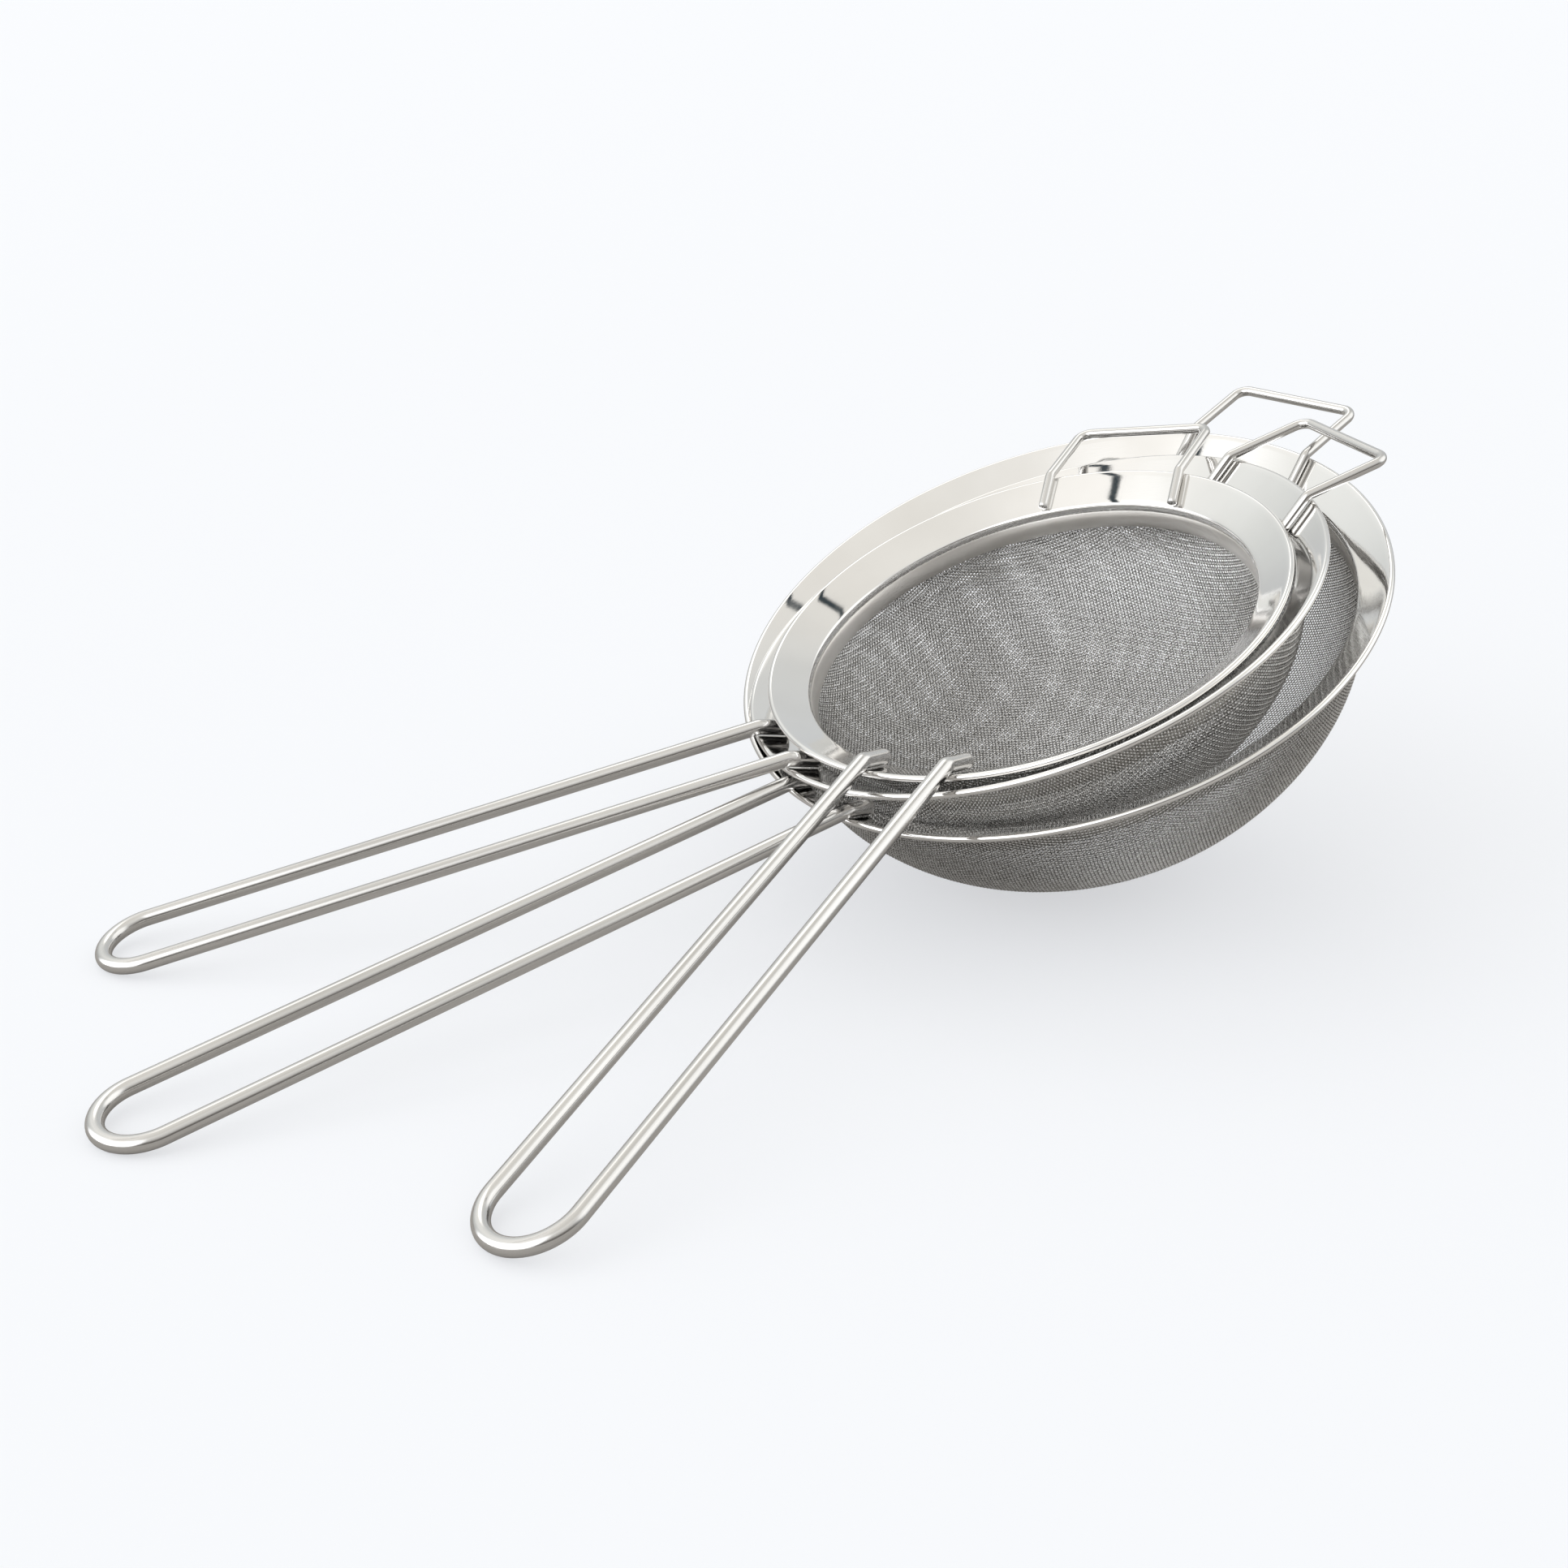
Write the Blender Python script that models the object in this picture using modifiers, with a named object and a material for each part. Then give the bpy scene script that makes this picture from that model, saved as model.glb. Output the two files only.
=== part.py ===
"""Set of three nested round wire-mesh strainers: pressed dished rims with a rolled bead, woven bowls held by a
clamp band, and bent-wire handles and rest hooks that lie on the rims."""

import math

import bpy
from mathutils import Matrix, Vector

MM = 0.001

# Rim section, the same on all three sizes: a flange that falls inward from the bead to a turned-down lip.
BEAD_R = 1.0 * MM
FLANGE_WIDTH = 11.4 * MM
FLANGE_DROP = 6.9 * MM
SHEET = 0.8 * MM
LIP_DROP = 1.3 * MM
GAP = 0.3 * MM

# Clamp band inside the mesh hem.
BAND_HEIGHT = 5.5 * MM
BAND_SHEET = 0.4 * MM

# Mesh bowl: a straight hem, then a rounded bowl whose section is a superellipse.
MESH_SHEET = 0.6 * MM
BOWL_POWER = 1.72
HEM_TAPER = 0.5 * MM

# Bent wire.
HANDLE_WIRE_R = 2.35 * MM
HOOK_WIRE_R = 1.55 * MM
HOOK_WELD = 10.5 * MM
HOOK_CORNER_R = 4.0 * MM
HOOK_HALF_WIDTH = 22.5 * MM

RIM_STEPS = 72
BOWL_STEPS = 60
BAND_STEPS = 60

# Per size, in mm and degrees. rim_r: outer radius. depth: bowl below its hem. leg_half: half the spacing of the
# handle legs. weld: length of wire lying on the flange. reach: rim edge to the centre of the end loop.
# root_slope and slope: climb of the legs over the rim plane near the bead and beyond it. root_height: where the
# straight part of a leg meets the rim edge.
# Placing: centre of the bead circle, which way and how far the rim dips, the handle's turn from there.
SIEVES = {
    "large": dict(
        rim_r=100.0, depth=66.0, leg_half=12.7, weld=7.0, reach=200.6, root_slope=-2.0, slope=13.7,
        root_height=1.4, hook_reach=21.2, hook_slope=-0.5, hook_turn=4.4,
        centre=(0.0, 0.0, 79.3), dip=182.6, tilt=24.0, turn=-5.25,
    ),
    "medium": dict(
        rim_r=90.0, depth=52.0, leg_half=12.7, weld=9.0, reach=185.4, root_slope=-2.0, slope=10.3,
        root_height=-0.8, hook_reach=23.0, hook_slope=-4.0, hook_turn=4.1,
        centre=(-11.5, 0.0, 82.7), dip=166.6, tilt=23.5, turn=-10.1,
    ),
    "small": dict(
        rim_r=80.0, depth=44.0, leg_half=13.4, weld=10.0, reach=164.8, root_slope=-1.0, slope=2.1,
        root_height=3.2, hook_reach=21.7, hook_slope=-1.3, hook_turn=2.1,
        centre=(-17.4, -3.3, 84.5), dip=173.8, tilt=22.35, turn=24.4,
    ),
}

# Moves the whole set so that its bounding box stands centred on the origin.
SET_SHIFT = (96.12, -10.78, 0.07)

COLOURS = {
    "rim": (0.78, 0.78, 0.77, 0.1),
    "band": (0.42, 0.39, 0.36, 0.35),
    "mesh": (0.45, 0.45, 0.44, 0.45),
    "wire": (0.66, 0.65, 0.63, 0.28),
}


def fresh_scene():
    for ob in list(bpy.data.objects):
        bpy.data.objects.remove(ob, do_unlink=True)
    for group in list(bpy.data.collections):
        bpy.data.collections.remove(group)
    group = bpy.data.collections.new("nested_strainers")
    bpy.context.scene.collection.children.link(group)
    return group


def steel(name, kind):
    red, green, blue, rough = COLOURS[kind]
    mat = bpy.data.materials.new(name)
    mat.use_nodes = True
    shader = mat.node_tree.nodes["Principled BSDF"]
    shader.inputs["Base Color"].default_value = (red, green, blue, 1.0)
    shader.inputs["Metallic"].default_value = 1.0
    shader.inputs["Roughness"].default_value = rough
    mat.diffuse_color = (red, green, blue, 1.0)
    return mat


def add_mesh(group, name, kind, mesh, parent):
    ob = bpy.data.objects.new(name, mesh)
    ob.parent = parent
    group.objects.link(ob)
    mesh.materials.clear()
    mesh.materials.append(steel(name, kind))
    return ob


def turned(group, name, kind, section, steps, closed, parent):
    """A section of (radius, height) points turned about Z with a Screw."""
    mesh = bpy.data.meshes.new(name)
    verts = [(r, 0.0, z) for r, z in section]
    edges = [(i, i + 1) for i in range(len(verts) - 1)]
    if closed:
        edges.append((len(verts) - 1, 0))
    mesh.from_pydata(verts, edges, [])
    ob = add_mesh(group, name, kind, mesh, parent)
    screw = ob.modifiers.new("turn", "SCREW")
    screw.axis = "Z"
    screw.angle = math.tau
    screw.steps = steps
    screw.render_steps = steps
    screw.use_merge_vertices = True
    screw.merge_threshold = 0.00001
    screw.use_smooth_shade = True
    return ob


def arc(cx, cz, radius, start, end, count):
    """Points round (cx, cz), angles in degrees from +X towards +Z, both ends included."""
    points = []
    for i in range(count):
        a = math.radians(start + (end - start) * i / (count - 1))
        points.append((cx + radius * math.cos(a), cz + radius * math.sin(a)))
    return points


def flange_angle():
    return math.degrees(math.atan2(FLANGE_DROP, FLANGE_WIDTH))


def rim_section(rim_r):
    """Flange sheet tangent to the top of a rolled bead, its inner edge turned down to a short lip."""
    beta = flange_angle()
    b = math.radians(beta)
    cx = rim_r - BEAD_R
    low = math.degrees(math.asin((BEAD_R - SHEET) / BEAD_R))
    # Once round the bead from the sheet's top line, over the outer edge, to the sheet's underside.
    bead = arc(cx, 0.0, BEAD_R, 90.0 + beta, beta - 180.0 - low, 9)
    inner = rim_r - FLANGE_WIDTH
    # The lip bends about a point under the sheet, from the flange's slope to straight down.
    turn_r = 1.4 * MM
    lx = inner + turn_r
    top_at_lx = BEAD_R / math.cos(b) - (cx - lx) * math.tan(b)
    lz = top_at_lx - turn_r / math.cos(b)
    outer_lip = arc(lx, lz, turn_r, 180.0, 90.0 + beta, 4)
    inner_lip = arc(lx, lz, turn_r - SHEET, 90.0 + beta, 180.0, 3)
    foot = lz - LIP_DROP
    section = list(bead)
    section += inner_lip
    section += [(inner + SHEET, foot), (inner, foot)]
    section += outer_lip
    return section, foot


def bowl_radii(rim_r):
    inner = rim_r - FLANGE_WIDTH + BAND_SHEET + GAP
    return inner, inner + MESH_SHEET


def superellipse(radius, depth, count):
    points = []
    for i in range(count + 1):
        t = math.radians(90.0 * i / count)
        c = max(math.cos(t), 0.0)
        s = math.sin(t)
        points.append((radius * c ** (2.0 / BOWL_POWER), -depth * s ** (2.0 / BOWL_POWER)))
    return points


def make_rim(group, size, spec, parent):
    section, foot = rim_section(spec["rim_r"] * MM)
    turned(group, size + "_rim", "rim", section, RIM_STEPS, True, parent)
    return foot - GAP


def make_band(group, size, spec, top, parent):
    inner = spec["rim_r"] * MM - FLANGE_WIDTH
    outer = inner + BAND_SHEET
    low = top - BAND_HEIGHT
    tuck = HEM_TAPER
    bend = 0.12 * MM
    section = [(inner + bend, top), (outer, top), (outer - tuck, low), (inner + bend - tuck, low)]
    section += [(inner - tuck, low + bend), (inner, top - bend)]
    turned(group, size + "_clamp_band", "band", section, BAND_STEPS, True, parent)


def make_bowl(group, size, spec, top, parent):
    inner, outer = bowl_radii(spec["rim_r"] * MM)
    depth = spec["depth"] * MM
    hem = top - BAND_HEIGHT
    outside = [(r, hem + z) for r, z in superellipse(outer - HEM_TAPER, depth, 10)]
    inside = [(r, hem + z) for r, z in superellipse(inner - HEM_TAPER, depth - MESH_SHEET, 10)]
    section = inside[::-1] + [(inner, top), (outer, top)] + outside
    turned(group, size + "_mesh_bowl", "mesh", section, BOWL_STEPS, False, parent)


def fillet(points, radii, count):
    """Rounds the inner corners of a 3-D path: radii has one value for each inner point."""
    path = [Vector(points[0])]
    for i in range(1, len(points) - 1):
        before = (Vector(points[i - 1]) - Vector(points[i])).normalized()
        after = (Vector(points[i + 1]) - Vector(points[i])).normalized()
        half = before.angle(after) / 2.0
        radius = radii[i - 1]
        if radius <= 0.0 or half > math.radians(89.0):
            path.append(Vector(points[i]))
            continue
        middle = Vector(points[i]) + (before + after).normalized() * (radius / math.sin(half))
        first = Vector(points[i]) + before * (radius / math.tan(half)) - middle
        last = Vector(points[i]) + after * (radius / math.tan(half)) - middle
        sweep = first.angle(last)
        for k in range(count + 1):
            t = k / count
            mix = (first * math.sin((1.0 - t) * sweep) + last * math.sin(t * sweep)) / math.sin(sweep)
            path.append(middle + mix)
    path.append(Vector(points[-1]))
    return path


def wire(group, name, path, radius, resolution, parent):
    """A round wire along the path, with its two ends closed."""
    curve = bpy.data.curves.new(name, "CURVE")
    curve.dimensions = "3D"
    curve.bevel_depth = radius
    curve.bevel_resolution = resolution
    curve.use_fill_caps = True
    spline = curve.splines.new("POLY")
    spline.points.add(len(path) - 1)
    for point, place in zip(spline.points, path):
        point.co = (place[0], place[1], place[2], 1.0)
    spline.use_smooth = True
    ob = bpy.data.objects.new(name, curve)
    ob.parent = parent
    group.objects.link(ob)
    curve.materials.append(steel(name, "wire"))
    return ob


def over_bead(rim_r, wire_r, weld, slope, half, count):
    """A leg at half off the centre plane: along the flange, then round the bead. Points are (forward, height),
    ending on the bead's far side where the leg climbs at the slope."""
    beta = flange_angle()
    b = math.radians(beta)
    cx = rim_r - BEAD_R
    lift = BEAD_R + wire_r + GAP
    side = []
    for i in range(3):
        back = weld * (1.0 - i / 3.0)
        side.append((cx - lift * math.sin(b) - back * math.cos(b), lift * math.cos(b) - back * math.sin(b)))
    side += arc(cx, 0.0, lift, 90.0 + beta, 90.0 + slope, count)
    return [(math.sqrt(r * r - half * half), z) for r, z in side]


def make_handle(group, size, spec, parent):
    rim_r = spec["rim_r"] * MM
    root = math.radians(spec["root_slope"])
    main = math.radians(spec["slope"])
    half = spec["leg_half"] * MM
    side = over_bead(rim_r, HANDLE_WIRE_R, spec["weld"] * MM, spec["root_slope"], half, 5)
    # The leg leaves the bead at the root slope and bends where it meets the main line.
    x0, z0 = side[-1]
    height = spec["root_height"] * MM
    run = (height - (z0 + (rim_r - x0) * math.tan(root))) / (math.tan(root) - math.tan(main))
    knee = (rim_r + run, height + run * math.tan(main))
    end = (rim_r + spec["reach"] * MM * math.cos(main), height + spec["reach"] * MM * math.sin(main))
    corners = fillet([(x0, 0.0, z0), (knee[0], 0.0, knee[1]), (end[0], 0.0, end[1])], [20.0 * MM], 3)
    leg = [Vector((x, 0.0, z)) for x, z in side[:-1]] + corners
    along = Vector((math.cos(main), 0.0, math.sin(main)))
    path = [p + Vector((0.0, half, 0.0)) for p in leg]
    for i in range(1, 10):
        a = math.pi * (0.5 - i / 10.0)
        path.append(leg[-1] + along * (half * math.cos(a)) + Vector((0.0, half * math.sin(a), 0.0)))
    path += [p - Vector((0.0, half, 0.0)) for p in reversed(leg)]
    wire(group, size + "_handle", path, HANDLE_WIRE_R, 3, parent)


def make_hook(group, size, spec, parent):
    rim_r = spec["rim_r"] * MM
    slope = math.radians(spec["hook_slope"])
    half = HOOK_HALF_WIDTH
    side = over_bead(rim_r, HOOK_WIRE_R, HOOK_WELD, spec["hook_slope"], half, 5)
    x0, z0 = side[-1]
    end_x = rim_r + spec["hook_reach"] * MM * math.cos(slope)
    end = (end_x, z0 + (end_x - x0) * math.tan(slope))
    bar = fillet(
        [(x0, half, z0), (end[0], half, end[1]), (end[0], -half, end[1]), (x0, -half, z0)],
        [HOOK_CORNER_R, HOOK_CORNER_R],
        4,
    )
    path = [Vector((x, half, z)) for x, z in side[:-1]]
    path += bar
    path += [Vector((x, -half, z)) for x, z in reversed(side[:-1])]
    turn = Matrix.Rotation(math.radians(180.0 + spec["hook_turn"]), 3, "Z")
    wire(group, size + "_rest_hook", [turn @ p for p in path], HOOK_WIRE_R, 2, parent)


def make_sieve(group, size, spec):
    frame = bpy.data.objects.new(size + "_frame", None)
    group.objects.link(frame)
    shift = [(c + s) * MM for c, s in zip(spec["centre"], SET_SHIFT)]
    lean = Matrix.Rotation(math.radians(spec["dip"]), 4, "Z") @ Matrix.Rotation(math.radians(spec["tilt"]), 4, "Y")
    turn = Matrix.Rotation(math.radians(spec["turn"]), 4, "Z")
    frame.matrix_world = Matrix.Translation(shift) @ lean @ turn
    top = make_rim(group, size, spec, frame)
    make_band(group, size, spec, top, frame)
    make_bowl(group, size, spec, top, frame)
    make_handle(group, size, spec, frame)
    make_hook(group, size, spec, frame)


def main():
    group = fresh_scene()
    for size, spec in SIEVES.items():
        make_sieve(group, size, spec)


main()
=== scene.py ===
"""Looks of the three nested wire-mesh strainers: woven bowls, polished rims, bent-wire handles and hooks."""

import math

import bpy
import numpy as np
from mathutils import Matrix, Vector


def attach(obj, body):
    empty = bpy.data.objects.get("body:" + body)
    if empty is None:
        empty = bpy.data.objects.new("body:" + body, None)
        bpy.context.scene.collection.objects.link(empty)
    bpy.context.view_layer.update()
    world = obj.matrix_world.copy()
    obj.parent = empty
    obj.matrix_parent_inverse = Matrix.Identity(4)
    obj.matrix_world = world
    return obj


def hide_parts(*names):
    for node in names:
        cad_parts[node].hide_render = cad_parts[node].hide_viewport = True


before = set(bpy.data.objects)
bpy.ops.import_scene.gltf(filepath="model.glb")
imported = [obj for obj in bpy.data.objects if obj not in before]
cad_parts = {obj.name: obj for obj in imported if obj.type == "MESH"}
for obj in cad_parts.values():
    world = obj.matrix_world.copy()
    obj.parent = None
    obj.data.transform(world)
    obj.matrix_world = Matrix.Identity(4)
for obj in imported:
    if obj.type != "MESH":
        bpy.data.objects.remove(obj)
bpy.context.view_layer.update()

MM = 0.001

# The rim's section, the same on all sizes, as on the CAD part.
BEAD_R = 1.0 * MM
FLANGE_WIDTH = 11.4 * MM
FLANGE_DROP = 6.9 * MM
FLANGE_ANGLE = math.atan2(FLANGE_DROP, FLANGE_WIDTH)
SHEET = 0.8 * MM
LIP_TURN_R = 1.4 * MM
LIP_DROP = 1.3 * MM
LIP_EDGE = 0.12 * MM
RIM_STEPS = 288

# The band and the hem of the mesh. GAP is what every piece keeps from its neighbour.
GAP = 0.3 * MM
BAND_HEIGHT = 5.5 * MM
BAND_SHEET = 0.4 * MM
BAND_EDGE = 0.1 * MM
BAND_STEPS = 216
MESH_SHEET = 0.6 * MM
HEM_TAPER = 0.5 * MM
BOWL_POWER = 1.72

# The bent wires. A weld is the run that lies on the flange, and a step is about as long as a quad on a straight
# run. The root's height is where a handle's straight run crosses the rim's edge.
HANDLE_WIRE_R = 2.35 * MM
HANDLE_ROOT_HEIGHT = 3.65 * MM
HANDLE_STEP = 9.0 * MM
HANDLE_SIDES = 28
HANDLE_LOOP_STEPS = 36
HOOK_WIRE_R = 1.55 * MM
HOOK_WELD = 10.5 * MM
HOOK_CORNER_R = 4.0 * MM
HOOK_HALF_WIDTH = 22.5 * MM
HOOK_STEP = 6.0 * MM
HOOK_SIDES = 24
WELD_STEPS = 8

# A wire's cut end, in shares of the wire's radius: how far its edge is rounded, and the ring in the flat face.
CUT_EDGE = 0.16
CUT_FACE = 0.45
# The middle of the rounded edge, in shares of that edge: how far back from the face and in from the side.
CUT_BEND_BACK = 0.35
CUT_BEND_IN = 0.25

# The weave: spacing and thickness of its wires, how far they go over and under, and how uneven they lie.
PITCH = 1.06 * MM
WEAVE_R = 0.20 * MM
WEAVE_LIFT = 0.08 * MM
WEAVE_JITTER = 0.012 * MM
ABOVE_HEM = 5.0 * MM
FIRST_SEED = 11

# Sizes and places in mm and degrees. The lines hold: the rim and its bowl; the handle's legs; the handle's end, as
# reach and slope from a point at from_height on the rim's edge; how far askew the handle is at its root and its
# end; the hook; the rim's place in the set, with weave for how far the weave is turned in its rim.
SIEVES = {
    "large": dict(
        rim_r=100.0, depth=66.0,
        leg_half=12.7, weld=7.0,
        reach=200.6, slope=13.7, from_height=1.6,
        root_shift=3.0, end_shift=-3.5,
        hook_reach=21.2, hook_slope=-0.5, hook_turn=4.4,
        centre=(0.0, 0.0, 79.3), dip=182.6, tilt=24.0, turn=-5.25, weave=52.0,
    ),
    "medium": dict(
        rim_r=90.0, depth=52.0,
        leg_half=12.7, weld=9.0,
        reach=185.4, slope=10.3, from_height=-0.55,
        root_shift=7.5, end_shift=0.0,
        hook_reach=23.0, hook_slope=-4.0, hook_turn=4.1,
        centre=(-11.5, 0.0, 82.7), dip=166.6, tilt=23.5, turn=-10.1, weave=20.0,
    ),
    "small": dict(
        rim_r=80.0, depth=44.0,
        leg_half=13.4, weld=10.0,
        reach=164.8, slope=2.1, from_height=2.4,
        root_shift=1.7, end_shift=-2.5,
        hook_reach=21.7, hook_slope=-1.3, hook_turn=2.1,
        centre=(-17.4, -3.3, 84.5), dip=173.8, tilt=22.35, turn=24.4, weave=-62.0,
    ),
}
SET_SHIFT = (96.12, -10.78, 0.07)

# Steel colours, each from dull to bright.
RIM_TONES = ((0.89, 0.88, 0.865), (0.95, 0.945, 0.935))
BAND_TONES = ((0.80, 0.775, 0.74), (0.90, 0.88, 0.85))
# The weave's dull end is painted shade between crossings, its bright end a painted glint on the crowns.
WEAVE_SHADE_TO_GLINT_TONES = ((0.15, 0.14, 0.13), (1.0, 0.997, 0.99))
WIRE_TONES = ((0.62, 0.61, 0.595), (0.86, 0.85, 0.835))

# The floor: what the camera sees, and the duller paper that the steel mirrors and that lights it.
FLOOR_SIZE = 40.0
FLOOR_PAPER = (0.34, 0.35, 0.365)
FLOOR_GLOW = (0.965, 0.975, 1.0)
FLOOR_GLOW_STRENGTH = 0.60
FLOOR_MIRRORED = (0.42, 0.405, 0.39)
MATT = 0.8

# The studio round the object: tones from the horizon (0) to straight up (1), on three sides.
OVERHEAD = (0.83, 0.81, 0.765)
RIGHT_SIDE = [
    (0.0, (0.30, 0.31, 0.32)), (0.16, (0.60, 0.62, 0.635)),
    (0.75, (0.66, 0.665, 0.65)), (0.98, OVERHEAD),
]
LEFT_SIDE = [
    (0.0, (0.42, 0.42, 0.42)), (0.34, (0.70, 0.715, 0.70)), (0.58, (0.93, 0.935, 0.91)),
    (0.75, (1.04, 1.02, 0.98)), (0.9, (1.0, 0.975, 0.93)), (0.99, OVERHEAD),
]
NEAR_SIDE = [
    (0.0, (0.12, 0.11, 0.10)), (0.22, (0.17, 0.16, 0.15)), (0.5, (0.62, 0.61, 0.59)),
    (0.8, (0.86, 0.85, 0.82)), (1.0, OVERHEAD),
]
# Where a side or a bright panel is: azimuth and elevation in degrees, then the cosines of the angle away from
# it at which it starts and is full.
LEFT_FACING = (140.0, 0.0, -0.15, 0.65)
NEAR_FACING = (-128.0, 0.0, 0.05, 0.75)
PANELS = [
    ((66.0, 55.0, 0.955, 0.985), (1.7, 1.68, 1.62)),
    ((-168.0, 26.0, 0.80, 0.96), (2.0, 2.02, 2.05)),
    ((150.0, 12.0, 0.80, 0.96), (2.2, 2.23, 2.28)),
    ((-35.0, 35.0, 0.80, 0.97), (1.3, 1.3, 1.28)),
]
BACKDROP = (0.947, 0.956, 0.974)

# Two dark strips that the polished flanges mirror: azimuth, elevation and the way of the strip's width.
FLAG_SLATE = (0.045, 0.075, 0.10)
FLAG_WIDTH = 0.05
FLAG_LENGTH = 0.5
FLAG_DISTANCE = 1.5
FLAG_CENTRE = Vector((0.09, 0.0, 0.1))
FLAGS = {
    "flag_high": (10.0, 71.0, (0.73, 0.59, -0.35)),
    "flag_left": (140.0, 48.0, (-0.2, -0.89, 0.40)),
}

CAMERA_PLACE = Vector((-0.34583, -0.44239, 0.27193))
CAMERA_LOOK = Vector((0.57088, 0.7307, -0.3744))
FOCAL_SHARE = 1.34251
SENSOR_WIDTH = 36.0


# ---------------------------------------------------------------- shader helpers

class Nodes:
    """Short calls for building one node tree."""

    def __init__(self, tree, place=None):
        self.tree = tree
        self.place = place or Matrix.Identity(4)

    def add(self, kind, **values):
        node = self.tree.nodes.new(kind)
        for key, value in values.items():
            setattr(node, key, value)
        return node

    def link(self, source, target):
        self.tree.links.new(source, target)

    def local(self):
        """A point in the strainer's own frame: the rim's centre is the origin and the rim's axis is Z."""
        where = self.add("ShaderNodeTexCoord")
        mapping = self.add("ShaderNodeMapping", vector_type="TEXTURE")
        mapping.inputs["Location"].default_value = self.place.to_translation()
        mapping.inputs["Rotation"].default_value = self.place.to_euler()
        self.link(where.outputs["Object"], mapping.inputs["Vector"])
        return mapping.outputs["Vector"]

    def along_wire(self, along, around):
        """The wire's own map: first along it, then round it, in metres times these scales."""
        where = self.add("ShaderNodeTexCoord")
        mapping = self.add("ShaderNodeMapping")
        mapping.inputs["Scale"].default_value = (along, around, 1.0)
        self.link(where.outputs["UV"], mapping.inputs["Vector"])
        return mapping.outputs["Vector"]

    def noise(self, vector, scale, detail, rough, distortion=0.0):
        node = self.add("ShaderNodeTexNoise")
        node.inputs["Scale"].default_value = scale
        node.inputs["Detail"].default_value = detail
        node.inputs["Roughness"].default_value = rough
        node.inputs["Distortion"].default_value = distortion
        self.link(vector, node.inputs["Vector"])
        return node.outputs["Fac"]

    def ramp(self, value, stops):
        node = self.add("ShaderNodeValToRGB")
        ends = node.color_ramp.elements
        while len(ends) < len(stops):
            ends.new(0.5)
        for end, (place, colour) in zip(ends, stops):
            end.position = place
            end.color = (*colour, 1.0)
        self.link(value, node.inputs["Fac"])
        return node.outputs["Color"]

    def spread(self, value, low, high, from_low=0.0, from_high=1.0):
        node = self.add("ShaderNodeMapRange")
        node.inputs["From Min"].default_value = from_low
        node.inputs["From Max"].default_value = from_high
        node.inputs["To Min"].default_value = low
        node.inputs["To Max"].default_value = high
        self.link(value, node.inputs["Value"])
        return node.outputs["Result"]

    def math(self, operation, *values):
        node = self.add("ShaderNodeMath", operation=operation)
        for socket, value in zip(node.inputs, values):
            if isinstance(value, (int, float)):
                socket.default_value = value
            else:
                self.link(value, socket)
        return node.outputs["Value"]

    def bump(self, height, strength, distance, normal=None):
        node = self.add("ShaderNodeBump")
        node.inputs["Strength"].default_value = strength
        node.inputs["Distance"].default_value = distance
        self.link(height, node.inputs["Height"])
        if normal is not None:
            self.link(normal, node.inputs["Normal"])
        return node.outputs["Normal"]

    def split(self, vector):
        node = self.add("ShaderNodeSeparateXYZ")
        self.link(vector, node.inputs[0])
        return node.outputs

    def join(self, **parts):
        node = self.add("ShaderNodeCombineXYZ")
        for axis, value in parts.items():
            self.link(value, node.inputs[axis])
        return node.outputs[0]

    def round_coords(self, around):
        """(angle x around, radius, height) of a point about the strainer's axis, for marks that run round."""
        local = self.split(self.local())
        angle = self.math("ARCTAN2", local["Y"], local["X"])
        length = self.add("ShaderNodeVectorMath", operation="LENGTH")
        self.link(self.join(X=local["X"], Y=local["Y"]), length.inputs[0])
        return self.join(X=self.math("MULTIPLY", angle, around), Y=length.outputs["Value"], Z=local["Z"])


class Material(Nodes):
    """The nodes of one material round its Principled shader."""

    def __init__(self, name, place=None):
        self.mat = bpy.data.materials.new(name)
        self.mat.use_nodes = True
        super().__init__(self.mat.node_tree, place)
        self.shader = self.tree.nodes["Principled BSDF"]

    def set(self, **values):
        """Values that are the same all over. An underscore stands for a space in the socket's name."""
        for key, value in values.items():
            self.shader.inputs[key.replace("_", " ")].default_value = value

    def drive(self, **sources):
        """Values that come from other nodes, named in the same way."""
        for key, source in sources.items():
            self.link(source, self.shader.inputs[key.replace("_", " ")])


def steel_rim(name, place_matrix):
    """Mirror-polished pressed steel: faint turning lines, soft waves in the sheet and a few rubbed patches."""
    n = Material(name, place_matrix)
    n.set(Metallic=1.0)
    place = n.local()
    patch = n.noise(place, scale=34.0, detail=3.0, rough=0.5)
    lines = n.noise(n.round_coords(around=0.004), scale=5200.0, detail=2.0, rough=0.5)
    rub = n.noise(place, scale=120.0, detail=4.0, rough=0.6)
    waves = n.noise(place, scale=46.0, detail=1.5, rough=0.4)
    rough = n.math("ADD", n.spread(rub, 0.02, 0.07, from_low=0.4, from_high=0.8), n.spread(lines, 0.0, 0.025))
    soft = n.bump(waves, strength=0.12, distance=0.5 * MM)
    n.drive(
        Base_Color=n.ramp(patch, list(zip((0.3, 0.7), RIM_TONES))),
        Roughness=rough,
        Normal=n.bump(lines, strength=0.12, distance=0.03 * MM, normal=soft),
    )
    return n.mat


def steel_band(name, place_matrix):
    """Satin band with lines that run round it."""
    n = Material(name, place_matrix)
    n.set(Metallic=1.0)
    lines = n.noise(n.round_coords(around=0.02), scale=2600.0, detail=3.0, rough=0.6)
    patch = n.noise(n.local(), scale=70.0, detail=3.0, rough=0.5)
    n.drive(
        Base_Color=n.ramp(patch, list(zip((0.25, 0.75), BAND_TONES))),
        Roughness=n.spread(lines, 0.26, 0.44),
        Normal=n.bump(lines, strength=0.3, distance=0.04 * MM),
    )
    return n.mat


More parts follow.
